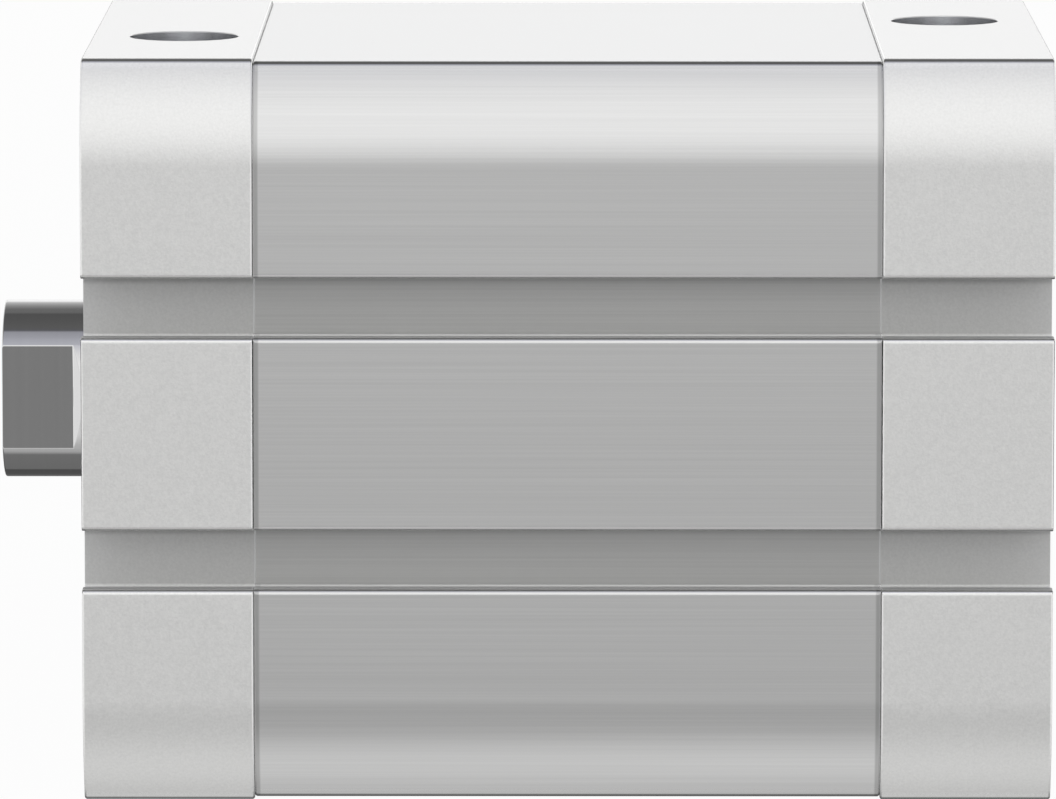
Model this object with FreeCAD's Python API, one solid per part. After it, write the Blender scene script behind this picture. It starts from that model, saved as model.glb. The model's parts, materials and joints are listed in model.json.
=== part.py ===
import FreeCAD, Part
import math
import os

# Compact pneumatic cylinder with a square slotted barrel, a female rod thread
# and a supply port on the top of each cap.
#
# The axis of the rod and bore is X and +Z is up. The origin is the centre of the
# front mounting face, the rod points to -X and the end cap lies at +X. The rod
# is drawn fully retracted. All sizes are in millimetres.

os.makedirs("parts", exist_ok=True)

V = FreeCAD.Vector
AXIS = V(1, 0, 0)

# Working sizes
bore_d = 50.0
stroke = 40.0
rod_d = 16.0
rod_stand_out = 8.4          # rod tip in front of the cap when retracted

# Outer form of the barrel and caps
barrel_wall = 7.5            # from the bore to the middle of each flat side
barrel_set_back = 0.25       # the barrel's skin lies this much inside the caps' skin
front_cap_length = 15.0
rear_cap_length = 15.0
corner_radius = 16.5         # bulged corner between a side and the top or bottom
corner_drop = 9.2            # height over which a corner is bulged
corner_edge_round = 0.8      # rounding where the bulge meets the top or bottom face
end_chamfer = 0.15

# T-slots for position sensors
slot_mouth = 5.2
slot_inner_width = 6.4
slot_depth = 5.2             # from the caps' skin
slot_lip = 2.0               # from the caps' skin
slot_spacing = 22.2          # between the two slots of one side
slot_mouth_round = 0.45
slot_floor_round = 0.4

# Spigots and static seals between the caps and the barrel
spigot_length = 2.0
spigot_clearance = 0.05
barrel_ring_cord = 1.5
barrel_ring_groove_width = 2.0
ring_sides = 8

# Collar screws, whose heads carry the mounting threads
screw_inset = 9.25           # from the barrel's flat side to the screw's axis
screw_recess = 0.2           # head below the cap's outer face
screw_head_d = 12.0
screw_head_length = 11.0
screw_shank_d = 10.0
screw_engagement = 13.0      # thread in the barrel
screw_hole_spare = 2.0       # tapped hole beyond the screw's end
mount_thread_d = 8.0
mount_thread_pitch = 1.25
mount_thread_depth = 12.0    # from the cap's outer face, all of it inside the head
mount_drill_depth = 13.5
socket_across_flats = 6.0    # the key reaches it through the mounting thread
socket_depth = 4.0
screw_clearance = 0.2        # round the head and the shank in the cap
thread_clearance = 0.05      # between a male and a female thread's crests

# Supply ports
port_thread_d = 9.728
port_thread_pitch = 0.907
port_thread_depth = 9.0
port_drill_depth = 14.0
port_from_face = 8.2         # from each cap's outer face
port_offset = 8.0            # from the middle plane, to opposite sides
passage_d = 5.0
passage_inset = 4.2          # from the bore's wall straight down to the passage's axis
drill_point_angle = 118.0

# Rod guide and rod seals, from the front face inwards
wiper_recess = 0.4
wiper_length = 3.0
wiper_wall = 2.5             # body of the wiper, between its seat and its inner wall
wiper_gap = 1.5              # body of the wiper to the rod
wiper_lip_length = 1.2
rod_seal_length = 3.2
rod_seal_height = 3.5        # rod to the bottom of the seal's seat
seal_land = 0.8              # wall between two seats
bush_wall = 2.0
bush_length = 8.6
bush_chamfer = 0.5
rod_clearance = 0.03         # bush on rod
rod_hole_clearance = 0.3     # cap's lands round the rod

# Elastic cushions
cushion_inner_d = 26.0
cushion_width = 4.0
cushion_seat_depth = 2.7
cushion_stand_out = 0.3
cushion_chamfer = 0.25

# Piston
piston_width = 10.4
piston_clearance = 0.3       # metal piston to bore
piston_end_land = 0.7
piston_seal_width = 2.7
piston_seal_height = 4.0
guide_width = 2.2
guide_thickness = 1.2
guide_split = 0.8
magnet_height = 4.0
groove_side_clearance = 0.05
guide_clearance = 0.03       # guide ring to bore
seal_clearance = 0.05        # lip to the wall that it runs on
ring_root_clearance = 0.03   # running ring to the bottom of its groove

# Lip seals
seal_lip = 0.8
seal_notch_depth = 1.5
seal_heel_relief = 0.3

# Rod end and rod tail
rod_tip_chamfer = 0.1
tail_chamfer = 0.4
rod_across_flats = 13.0
rod_flat_length = 6.4
rod_flat_run_out = 60.0      # angle of the run-out to the rod's axis
rod_thread_d = 10.0
rod_thread_pitch = 1.5
rod_thread_depth = 16.0
rod_drill_depth = 20.0
rod_thread_chamfer = 0.5
tail_d = 10.0
tail_clearance = 0.02
tail_stand_out = 0.8         # tail beyond the nut
tail_ring_cord = 1.5
tail_ring_gap = 0.1
washer_width = 4.0
washer_thickness = 1.2
nut_across_flats = 17.0
nut_thickness = 5.0
nut_pocket_clearance = 1.2   # round the nut's corners
nut_pocket_spare = 0.8       # behind the tail

# Centring recess in the end cap
centring_d = 12.0
centring_depth = 2.6

# Sizes that follow from the ones above
barrel_half = bore_d / 2 + barrel_wall
cap_half = barrel_half + barrel_set_back
screw_place = barrel_half - screw_inset
barrel_length = stroke + piston_width + 2 * (spigot_length + cushion_stand_out)

mount_drill_d = mount_thread_d - mount_thread_pitch
port_drill_d = port_thread_d - port_thread_pitch
rod_drill_d = rod_thread_d - rod_thread_pitch
wiper_body_inner_d = rod_d + 2 * wiper_gap
wiper_seat_d = wiper_body_inner_d + 2 * wiper_wall
rod_seal_inner_d = rod_d + 2 * seal_clearance
rod_seal_seat_d = rod_d + 2 * rod_seal_height
bush_d = rod_d + 2 * bush_wall
cushion_outer_d = cushion_inner_d + 2 * cushion_width
washer_d = tail_d + 2 * washer_width

x_front_joint = front_cap_length
x_rear_joint = x_front_joint + barrel_length
x_rear_face = x_rear_joint + rear_cap_length
x_front_spigot = x_front_joint + spigot_length
x_rear_spigot = x_rear_joint - spigot_length
x_piston_rear = x_rear_spigot - cushion_stand_out
x_piston_front = x_piston_rear - piston_width
x_piston_middle = (x_piston_front + x_piston_rear) / 2
x_tip = -rod_stand_out
x_nut = x_piston_rear + washer_thickness
x_tail_end = x_nut + nut_thickness + tail_stand_out

# The seats in the bearing cap follow each other from the front face inwards
x_wiper_end = wiper_recess + wiper_length
x_rod_seal = x_wiper_end + seal_land
x_rod_seal_end = x_rod_seal + rod_seal_length
x_bush = x_rod_seal_end + seal_land


def cylinder(x_from, x_to, diameter, y=0.0, z=0.0):
    """A cylinder along X."""
    low, high = min(x_from, x_to), max(x_from, x_to)
    return Part.makeCylinder(diameter / 2, high - low, V(low, y, z), AXIS)


def turned(points):
    """A solid turned about the X axis from a half section of (x, radius) points."""
    corners = [V(x, 0, r) for x, r in points]
    face = Part.Face(Part.makePolygon(corners + corners[:1]))
    return face.revolve(V(0, 0, 0), AXIS, 360)


def ring(x_from, x_to, inner_d, outer_d):
    """A plain ring along X."""
    return turned([(x_from, inner_d / 2), (x_to, inner_d / 2), (x_to, outer_d / 2), (x_from, outer_d / 2)])


def round_ring(x_centre, radius, cord):
    """A static ring of round cord, drawn with a few-sided section to keep it light."""
    turns = [math.radians(360 * (i + 0.5) / ring_sides) for i in range(ring_sides)]
    return turned([(x_centre + cord / 2 * math.cos(t), radius + cord / 2 * math.sin(t)) for t in turns])


def drill_tip(x, diameter, direction, y=0.0, z=0.0):
    """The cone that a drill leaves at the bottom of a hole along X."""
    length = diameter / 2 / math.tan(math.radians(drill_point_angle / 2))
    return Part.makeCone(diameter / 2, 0, length, V(x, y, z), V(direction, 0, 0))


def hexagon(x_from, x_to, across_flats, y=0.0, z=0.0):
    """A hexagonal prism along X."""
    reach = across_flats / math.sqrt(3)
    turns = [math.radians(30 + 60 * i) for i in range(6)]
    corners = [V(x_from, y + reach * math.cos(t), z + reach * math.sin(t)) for t in turns]
    face = Part.Face(Part.makePolygon(corners + corners[:1]))
    return face.extrude(V(x_to - x_from, 0, 0))


def face_edges(solid, x):
    """The edges of a solid that lie in the plane at x."""
    return [e for e in solid.Edges if abs(e.BoundBox.XMin - x) < 1e-6 and abs(e.BoundBox.XMax - x) < 1e-6]


def body_outline(half):
    """The closed outline in the YZ plane: flat sides, top and bottom, and four bulged corners.

    A bulge is an arc that leaves the flat side smoothly and meets the top or bottom at an edge.
    Its centre is the same for the caps and the barrel, so one outline is an offset of the other.
    """
    radius = corner_radius - (cap_half - half)
    y_centre = half - radius
    z_centre = cap_half - corner_drop
    reach = math.sqrt(radius ** 2 - (half - z_centre) ** 2)
    middle = math.atan2(half - z_centre, reach) / 2
    edges = []
    for side in (1, -1):
        for up in (1, -1):
            start = V(0, side * half, up * z_centre)
            through = V(0, side * (y_centre + radius * math.cos(middle)),
                        up * (z_centre + radius * math.sin(middle)))
            end = V(0, side * (y_centre + reach), up * half)
            edges.append(Part.Arc(start, through, end).toShape())
        edges.append(Part.makeLine(V(0, side * half, -z_centre), V(0, side * half, z_centre)))
    for up in (1, -1):
        edges.append(Part.makeLine(V(0, -y_centre - reach, up * half), V(0, y_centre + reach, up * half)))
    return Part.Wire(Part.__sortEdges__(edges))


def square_body(x_from, x_to, half):
    """The outer block of a cap or of the barrel, with its long edges rounded and its ends chamfered."""
    block = Part.Face(body_outline(half)).extrude(V(x_to - x_from, 0, 0))
    block.translate(V(x_from, 0, 0))
    long_edges = [e for e in block.Edges
                  if e.BoundBox.XLength > end_chamfer and abs(abs(e.CenterOfMass.z) - half) < 1e-6]
    block = block.makeFillet(corner_edge_round, long_edges)
    return block.makeChamfer(end_chamfer, face_edges(block, x_from) + face_edges(block, x_to))


def slot_section(face):
    """The T-slot's section in the YZ plane, sunk into a side whose skin is at y = -face."""
    mouth = slot_mouth / 2
    inner = slot_inner_width / 2
    floor = cap_half - slot_depth
    lip = cap_half - slot_lip
    bend = 1 - math.sqrt(0.5)
    edges = []
    for up in (1, -1):
        outside = V(0, -face - slot_mouth_round, up * (mouth + slot_mouth_round))
        at_skin = V(0, -face, up * (mouth + slot_mouth_round))
        round_middle = V(0, -face + slot_mouth_round * bend, up * (mouth + slot_mouth_round * bend))
        in_mouth = V(0, -face + slot_mouth_round, up * mouth)
        lip_edge = V(0, -lip, up * mouth)
        lip_root = V(0, -lip, up * inner)
        wall_end = V(0, -floor - slot_floor_round, up * inner)
        floor_middle = V(0, -floor - slot_floor_round * bend, up * (inner - slot_floor_round * bend))
        floor_end = V(0, -floor, up * (inner - slot_floor_round))
        edges.append(Part.makeLine(outside, at_skin))
        edges.append(Part.Arc(at_skin, round_middle, in_mouth).toShape())
        edges.append(Part.makeLine(in_mouth, lip_edge))
        edges.append(Part.makeLine(lip_edge, lip_root))
        edges.append(Part.makeLine(lip_root, wall_end))
        edges.append(Part.Arc(wall_end, floor_middle, floor_end).toShape())
    for y, z in ((-floor, inner - slot_floor_round), (-face - slot_mouth_round, mouth + slot_mouth_round)):
        edges.append(Part.makeLine(V(0, y, -z), V(0, y, z)))
    return Part.Face(Part.Wire(Part.__sortEdges__(edges)))


def slots(x_from, x_to, face):
    """Two T-slots along each long side and two along the bottom, none along the top."""
    cutters = []
    for turn in (0, 90, 180):
        for place in (-slot_spacing / 2, slot_spacing / 2):
            cutter = slot_section(face).extrude(V(x_to - x_from, 0, 0))
            cutter.translate(V(x_from, 0, place))
            cutter.rotate(V(0, 0, 0), AXIS, turn)
            cutters.append(cutter)
    return cutters


def screw_places():
    """The four corners of the screws' square."""
    return [(y, z) for y in (-screw_place, screw_place) for z in (-screw_place, screw_place)]


def cap_screw(x_face, inwards, y, z):
    """A collar screw: round head, threaded shank, the mounting thread and a hexagon socket below it."""
    def at(depth):
        return x_face + inwards * depth

    collar = screw_recess + screw_head_length
    joint = front_cap_length if inwards > 0 else rear_cap_length
    end = joint + screw_engagement
    shank_d = screw_shank_d - 2 * thread_clearance
    screw = cylinder(at(screw_recess), at(collar), screw_head_d, y, z)
    screw = screw.fuse(cylinder(at(collar), at(end), shank_d, y, z))
    socket_end = mount_drill_depth + socket_depth
    return screw.cut([cylinder(at(screw_recess), at(mount_thread_depth), mount_thread_d, y, z),
                      cylinder(at(mount_thread_depth), at(mount_drill_depth), mount_drill_d, y, z),
                      hexagon(at(mount_drill_depth), at(socket_end), socket_across_flats, y, z),
                      drill_tip(at(socket_end), socket_across_flats, inwards, y, z)])


def cap_screws(x_face, inwards):
    return Part.makeCompound([cap_screw(x_face, inwards, y, z) for y, z in screw_places()])


def screw_seats(x_face, inwards, x_joint):
    """The stepped holes in a cap for its four screws."""
    collar = x_face + inwards * (screw_recess + screw_head_length)
    cutters = []
    for y, z in screw_places():
        cutters.append(cylinder(x_face, collar, screw_head_d + 2 * screw_clearance, y, z))
        cutters.append(cylinder(collar, x_joint, screw_shank_d + 2 * screw_clearance, y, z))
    return cutters


def port(x_port, y_port, x_spigot):
    """A supply port down from the top, and the passage from it to the cylinder's chamber."""
    down = V(0, 0, -1)
    z_drill = cap_half - port_drill_depth
    point = port_drill_d / 2 / math.tan(math.radians(drill_point_angle / 2))
    z_passage = math.sqrt((bore_d / 2) ** 2 - y_port ** 2) - passage_inset
    return [Part.makeCylinder(port_thread_d / 2, port_thread_depth, V(x_port, y_port, cap_half), down),
            Part.makeCylinder(port_drill_d / 2, port_drill_depth, V(x_port, y_port, cap_half), down),
            Part.makeCone(port_drill_d / 2, 0, point, V(x_port, y_port, z_drill), down),
            cylinder(x_port, x_spigot, passage_d, y_port, z_passage)]


def ring_groove(x_joint, outwards):
    """The groove in a cap's joint face, round its spigot, for the static ring."""
    inner_d = bore_d - 2 * spigot_clearance
    outer_d = inner_d + 2 * barrel_ring_groove_width
    return ring(x_joint, x_joint + outwards * barrel_ring_cord, inner_d, outer_d)


def barrel_ring(x_joint, outwards):
    """The static ring that lies in the cap's groove and meets the barrel's end."""
    radius = bore_d / 2 - spigot_clearance + barrel_ring_groove_width / 2
    return round_ring(x_joint + outwards * barrel_ring_cord / 2, radius, barrel_ring_cord)


def cushion_seat(x_spigot, outwards):
    return ring(x_spigot, x_spigot + outwards * cushion_seat_depth, cushion_inner_d, cushion_outer_d)


def cushion_ring(x_spigot, inwards):
    """The elastic ring, seated in the spigot and standing a little out of it."""
    cushion = ring(x_spigot - inwards * cushion_seat_depth, x_spigot + inwards * cushion_stand_out,
                   cushion_inner_d, cushion_outer_d)
    return cushion.makeChamfer(cushion_chamfer, face_edges(cushion, x_spigot + inwards * cushion_stand_out))


def lip_seal(x_heel, x_lips, inner_d, outer_d, sealing):
    """A U-shaped lip seal. Its lips point to x_lips, and the heel is relieved on the sealing side."""
    way = 1 if x_lips > x_heel else -1
    low, high = inner_d / 2, outer_d / 2
    heel_low = low + (seal_heel_relief if sealing == "inner" else 0)
    heel_high = high - (seal_heel_relief if sealing == "outer" else 0)
    return turned([(x_heel, heel_low), (x_lips, low), (x_lips, low + seal_lip),
                   (x_lips - way * seal_notch_depth, (low + high) / 2),
                   (x_lips, high - seal_lip), (x_lips, high), (x_heel, heel_high)])


def make_barrel():
    barrel = square_body(x_front_joint, x_rear_joint, barrel_half)
    cutters = [cylinder(x_front_joint, x_rear_joint, bore_d)] + slots(x_front_joint, x_rear_joint, barrel_half)
    depth = screw_engagement + screw_hole_spare
    for y, z in screw_places():
        for x, inwards in ((x_front_joint, 1), (x_rear_joint, -1)):
            cutters.append(cylinder(x, x + inwards * depth, screw_shank_d, y, z))
            cutters.append(drill_tip(x + inwards * depth, screw_shank_d, inwards, y, z))
    return barrel.cut(cutters)


def make_bearing_cap():
    cap = square_body(0, x_front_joint, cap_half)
    cap = cap.fuse(cylinder(x_front_joint, x_front_spigot, bore_d - 2 * spigot_clearance))
    cutters = slots(0, x_front_joint, cap_half) + screw_seats(0, 1, x_front_joint)
    cutters += port(port_from_face, -port_offset, x_front_spigot)
    cutters.append(ring_groove(x_front_joint, -1))
    cutters.append(cushion_seat(x_front_spigot, -1))
    cutters.append(cylinder(0, x_wiper_end, wiper_seat_d))
    cutters.append(cylinder(x_wiper_end, x_bush, rod_d + 2 * rod_hole_clearance))
    cutters.append(cylinder(x_rod_seal, x_rod_seal_end, rod_seal_seat_d))
    cutters.append(cylinder(x_bush, x_front_spigot, bush_d))
    return cap.cut(cutters)


def make_end_cap():
    cap = square_body(x_rear_joint, x_rear_face, cap_half)
    cap = cap.fuse(cylinder(x_rear_spigot, x_rear_joint, bore_d - 2 * spigot_clearance))
    cutters = slots(x_rear_joint, x_rear_face, cap_half) + screw_seats(x_rear_face, -1, x_rear_joint)
    cutters += port(x_rear_face - port_from_face, port_offset, x_rear_spigot)
    cutters.append(ring_groove(x_rear_joint, 1))
    cutters.append(cushion_seat(x_rear_spigot, 1))
    pocket_d = nut_across_flats * 2 / math.sqrt(3) + 2 * nut_pocket_clearance
    cutters.append(cylinder(x_rear_spigot, x_tail_end + nut_pocket_spare, pocket_d))
    cutters.append(cylinder(x_rear_face - centring_depth, x_rear_face, centring_d))
    return cap.cut(cutters)


def make_wiper():
    """The wiper's body fills the mouth, and its thin lip leans forward onto the rod."""
    lip = rod_d / 2 + seal_clearance
    seat = wiper_seat_d / 2
    body = wiper_body_inner_d / 2
    return turned([(x_wiper_end, body), (x_wiper_end, seat), (wiper_recess, seat), (wiper_recess, body),
                   (0, lip + rod_hole_clearance), (0, lip), (wiper_lip_length, lip + rod_hole_clearance),
                   (x_wiper_end - wiper_lip_length, body)])


def make_bush():
    inner = rod_d + 2 * rod_clearance
    bush = ring(x_bush, x_bush + bush_length, inner, bush_d)
    inner_edges = [e for e in bush.Edges if abs(e.BoundBox.YLength - inner) < 1e-6 and e.BoundBox.XLength < 1e-6]
    return bush.makeChamfer(bush_chamfer, inner_edges)


def make_rod():
    """The rod: chamfered tip, two spanner flats, a blind female thread and a thin tail for the piston."""
    radius = rod_d / 2
    tail = tail_d / 2
    rod = turned([(x_tip, 0), (x_tip, radius - rod_tip_chamfer), (x_tip + rod_tip_chamfer, radius),
                  (x_piston_front, radius), (x_piston_front, tail), (x_tail_end - tail_chamfer, tail),
                  (x_tail_end, tail - tail_chamfer), (x_tail_end, 0)])
    flat = rod_across_flats / 2
    rise = rod_d / 2 - flat
    run_out = rise / math.tan(math.radians(rod_flat_run_out))
    x_flat = x_tip + rod_flat_length
    for side in (1, -1):
        corners = [V(x_tip - rise, side * flat, -radius), V(x_flat, side * flat, -radius),
                   V(x_flat + 2 * run_out, side * (flat + 2 * rise), -radius),
                   V(x_tip - rise, side * (flat + 2 * rise), -radius)]
        cutter = Part.Face(Part.makePolygon(corners + corners[:1])).extrude(V(0, 0, rod_d))
        rod = rod.cut(cutter)
    thread = rod_thread_d / 2
    x_thread_end = x_tip + rod_thread_depth
    x_drill_end = x_tip + rod_drill_depth
    hole = turned([(x_tip, 0), (x_tip, thread + rod_thread_chamfer), (x_tip + rod_thread_chamfer, thread),
                   (x_thread_end, thread), (x_thread_end, rod_drill_d / 2), (x_drill_end, rod_drill_d / 2),
                   (x_drill_end, 0)])
    return rod.cut([hole, drill_tip(x_drill_end, rod_drill_d, 1)])


def piston_half(x_end, inwards):
    """One half of the piston, with a seal groove and half of the groove for magnet and guide ring."""
    def at(depth):
        return x_end + inwards * depth

    rim = bore_d / 2 - piston_clearance
    seal_root = bore_d / 2 - seal_clearance - piston_seal_height - ring_root_clearance
    magnet_root = bore_d / 2 - guide_clearance - guide_thickness - 2 * ring_root_clearance - magnet_height
    seal_end = piston_end_land + piston_seal_width + 2 * groove_side_clearance
    middle = piston_width / 2
    guide_start = middle - guide_width / 2 - groove_side_clearance
    hole = tail_d / 2 + tail_clearance
    return turned([(at(0), hole), (at(0), rim), (at(piston_end_land), rim), (at(piston_end_land), seal_root),
                   (at(seal_end), seal_root), (at(seal_end), rim), (at(guide_start), rim),
                   (at(guide_start), magnet_root), (at(middle), magnet_root), (at(middle), hole)])


def tail_ring_seat():
    """The recess in the piston's front face that holds the static ring on the rod's tail."""
    depth = tail_ring_cord + tail_ring_gap
    outer_d = tail_d + 2 * (tail_ring_cord + 2 * tail_ring_gap)
    return cylinder(x_piston_front, x_piston_front + depth, outer_d)


def make_tail_ring():
    radius = tail_d / 2 + tail_ring_gap + tail_ring_cord / 2
    x_centre = x_piston_front + (tail_ring_cord + tail_ring_gap) / 2
    return round_ring(x_centre, radius, tail_ring_cord)


def make_piston_seal(x_end, inwards):
    outer_d = bore_d - 2 * seal_clearance
    x_lips = x_end + inwards * (piston_end_land + groove_side_clearance)
    return lip_seal(x_lips + inwards * piston_seal_width, x_lips, outer_d - 2 * piston_seal_height, outer_d, "outer")


def make_guide_ring():
    """The guide band, split once so that it can be sprung over the piston."""
    outer_d = bore_d - 2 * guide_clearance
    band = ring(x_piston_middle - guide_width / 2, x_piston_middle + guide_width / 2,
                outer_d - 2 * guide_thickness, outer_d)
    split = Part.makeBox(guide_width, guide_split, outer_d,
                         V(x_piston_middle - guide_width / 2, -guide_split / 2, 0))
    return band.cut(split)


def make_magnet():
    outer_d = bore_d - 2 * (guide_clearance + guide_thickness + ring_root_clearance)
    return ring(x_piston_middle - guide_width / 2, x_piston_middle + guide_width / 2,
                outer_d - 2 * magnet_height, outer_d)


def make_washer():
    return ring(x_piston_rear, x_nut, tail_d + 2 * thread_clearance, washer_d)


def make_nut():
    """A thin hexagon nut with both faces' corners turned off."""
    x_end = x_nut + nut_thickness
    corner = nut_across_flats / math.sqrt(3)
    flat = nut_across_flats / 2
    chamfer = (corner - flat) / 2
    crown = turned([(x_nut, 0), (x_nut, flat), (x_nut + chamfer, corner), (x_end - chamfer, corner),
                    (x_end, flat), (x_end, 0)])
    nut = hexagon(x_nut, x_end, nut_across_flats).common(crown)
    return nut.cut(cylinder(x_nut, x_end, tail_d + 2 * thread_clearance))


def export(node, shape):
    """Write one node, and print its size as a check."""
    if not shape.isValid():
        raise ValueError("shape of " + node + " is not valid")
    shape.exportStep("parts/" + node + ".step")
    box = shape.BoundBox
    print("%-20s %d solid(s) %10.1f mm3, x %6.2f to %6.2f" % (node, len(shape.Solids), shape.Volume,
                                                            box.XMin, box.XMax))


export("barrel", make_barrel())
export("bearing_cap", make_bearing_cap())
export("end_cap", make_end_cap())
export("front_cap_screws", cap_screws(0, 1))
export("rear_cap_screws", cap_screws(x_rear_face, -1))
export("front_barrel_oring", barrel_ring(x_front_joint, -1))
export("rear_barrel_oring", barrel_ring(x_rear_joint, 1))
export("front_cushion_ring", cushion_ring(x_front_spigot, 1))
export("rear_cushion_ring", cushion_ring(x_rear_spigot, -1))
export("rod_wiper_ring", make_wiper())
export("rod_seal", lip_seal(x_rod_seal, x_rod_seal_end, rod_seal_inner_d, rod_seal_seat_d, "inner"))
export("rod_bearing_bush", make_bush())
export("piston_rod", make_rod())
export("piston_front_half", piston_half(x_piston_front, 1).cut(tail_ring_seat()))
export("piston_rear_half", piston_half(x_piston_rear, -1))
export("piston_rod_oring", make_tail_ring())
export("front_piston_seal", make_piston_seal(x_piston_front, 1))
export("rear_piston_seal", make_piston_seal(x_piston_rear, -1))
export("piston_guide_ring", make_guide_ring())
export("piston_magnet", make_magnet())
export("piston_washer", make_washer())
export("piston_nut", make_nut())
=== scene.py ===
# %% [markdown]
# # A compact pneumatic cylinder, dressed for its portrait
#
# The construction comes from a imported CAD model, which this script loads as a fixed frame.
# Nothing in that frame is moved or resized here. What the lesson adds is everything that a
# drawing lacks: rounded edges, threads, round rubber rings, and a finish for every surface.
#
# X runs along the bore, the rod points to -X, +Z is up and the camera stands on the -Y side.
# Blender works in metres, so sizes are written in millimetres and multiplied by MM.

import json
import math

import bmesh
import bpy
import numpy as np
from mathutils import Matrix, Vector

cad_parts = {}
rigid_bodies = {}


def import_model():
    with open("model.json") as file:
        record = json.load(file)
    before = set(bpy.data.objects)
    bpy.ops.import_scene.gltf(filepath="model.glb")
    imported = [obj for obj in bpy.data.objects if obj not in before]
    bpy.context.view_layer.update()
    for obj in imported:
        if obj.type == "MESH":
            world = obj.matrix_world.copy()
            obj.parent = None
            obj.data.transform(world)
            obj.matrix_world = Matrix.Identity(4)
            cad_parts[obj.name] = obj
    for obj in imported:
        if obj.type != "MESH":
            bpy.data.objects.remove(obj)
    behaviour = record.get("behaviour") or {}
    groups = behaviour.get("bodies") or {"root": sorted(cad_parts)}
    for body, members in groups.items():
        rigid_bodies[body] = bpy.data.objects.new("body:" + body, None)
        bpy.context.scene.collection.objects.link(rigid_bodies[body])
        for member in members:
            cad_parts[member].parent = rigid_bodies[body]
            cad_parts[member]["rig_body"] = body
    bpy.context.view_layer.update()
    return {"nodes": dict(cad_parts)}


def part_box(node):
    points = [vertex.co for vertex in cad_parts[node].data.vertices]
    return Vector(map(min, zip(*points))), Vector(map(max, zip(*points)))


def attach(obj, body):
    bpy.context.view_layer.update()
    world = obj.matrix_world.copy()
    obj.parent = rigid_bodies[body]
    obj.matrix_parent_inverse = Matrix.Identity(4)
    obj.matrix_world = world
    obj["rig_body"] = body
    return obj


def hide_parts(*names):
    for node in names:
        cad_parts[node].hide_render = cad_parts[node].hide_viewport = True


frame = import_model()
nodes = frame["nodes"]
MM = 0.001

# %% [markdown]
# ## Sizes read from the frame
#
# A dressed piece has to sit exactly on the solid that it stands for. So places are read from
# the boxes of the CAD nodes, and only what a box can't tell, such as the pitch of a thread or
# the wall of a seal, is written down as a named value next to its use.

# %% Measure the frame
def span(node):
    """Lowest and highest corner of a node, in millimetres."""
    low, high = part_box(node)
    return np.array(low) / MM, np.array(high) / MM


front_face = span("bearing_cap")[0][0]
front_joint = span("barrel")[0][0]
rear_joint = span("barrel")[1][0]
rear_face = span("end_cap")[1][0]
cap_half = span("end_cap")[1][2]
barrel_half = span("barrel")[1][2]
floor_height = -cap_half * MM
print("caps from %.1f to %.1f mm, %.2f mm half wide" % (front_face, rear_face, cap_half))
print("barrel from %.1f to %.1f mm, %.2f mm half wide" % (front_joint, rear_joint, barrel_half))

# %% [markdown]
# ## From loose triangles to a rounded machine part
#
# A CAD node arrives as loose triangles with razor-sharp edges. Real edges are never sharp:
# a cast, sawn or turned edge has a small rounding that catches a thin line of light, and
# those lines are what makes a metal part look like metal.
#
# One could model each rounding by hand. It is simpler to copy the node, merge the loose
# triangles, dissolve the flat areas into single faces, and let a Bevel modifier round what is
# still sharp. A Weighted Normal modifier then keeps the large flats flat, so that only the
# small roundings shade softly.

# %% A rounded copy of a CAD node
MERGE_DISTANCE = 0.002 * MM
FLAT_WITHIN = math.radians(0.5)
SHARP_FROM = math.radians(28)    # the round walls' facets meet at less than this


def link(obj):
    bpy.context.scene.collection.objects.link(obj)
    return obj


def ride_along(obj, node):
    """Let the piece ride on the node's body."""
    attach(obj, nodes[node]["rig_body"])
    return obj


def stand_in(obj, node):
    """Let the piece ride with the node and take its place."""
    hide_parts(node)
    return ride_along(obj, node)


def rounded_copy(node, name, material, edge_round, steps=2):
    """The node's own surface, merged, with every edge sharper than SHARP_FROM rounded."""
    obj = link(bpy.data.objects.new(name, nodes[node].data.copy()))
    work = bmesh.new()
    work.from_mesh(obj.data)
    bmesh.ops.remove_doubles(work, verts=work.verts, dist=MERGE_DISTANCE)
    bmesh.ops.dissolve_limit(work, angle_limit=FLAT_WITHIN, verts=work.verts, edges=work.edges)
    work.to_mesh(obj.data)
    work.free()
    obj.data.materials.clear()
    obj.data.materials.append(material)
    obj.data.shade_smooth()
    bevel = obj.modifiers.new("edge_round", "BEVEL")
    bevel.width = edge_round
    bevel.segments = steps
    bevel.limit_method = "ANGLE"
    bevel.angle_limit = SHARP_FROM
    bevel.use_clamp_overlap = False
    flats = obj.modifiers.new("flats_stay_flat", "WEIGHTED_NORMAL")
    flats.keep_sharp = True
    return stand_in(obj, node)


# %% [markdown]
# ## Turned surfaces, worked out with numpy
#
# Screws, rings and seals are turned shapes. Each is a grid of points: one direction follows
# the half section and the other goes round the axis. A thread or a hexagon socket is the same
# grid with a radius that also depends on the angle, so one helper serves them all.

# %% Grid surfaces
def turned_grid(x, radius, columns, closed_section):
    """Points (x, r cos t, r sin t), with t evenly round the X axis, and the faces between them.

    x and radius hold one row per point of the half section, and may differ from column to
    column. A closed section joins its last row to its first.
    """
    x = np.broadcast_to(np.asarray(x, float).reshape(len(x), -1), (len(x), columns))
    radius = np.broadcast_to(np.asarray(radius, float).reshape(len(radius), -1), x.shape)
    turn = 2 * np.pi * np.arange(columns) / columns
    points = np.stack([x, radius * np.cos(turn), radius * np.sin(turn)], axis=-1).reshape(-1, 3)
    return points, grid_faces(len(x), columns, closed_section, True)


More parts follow.
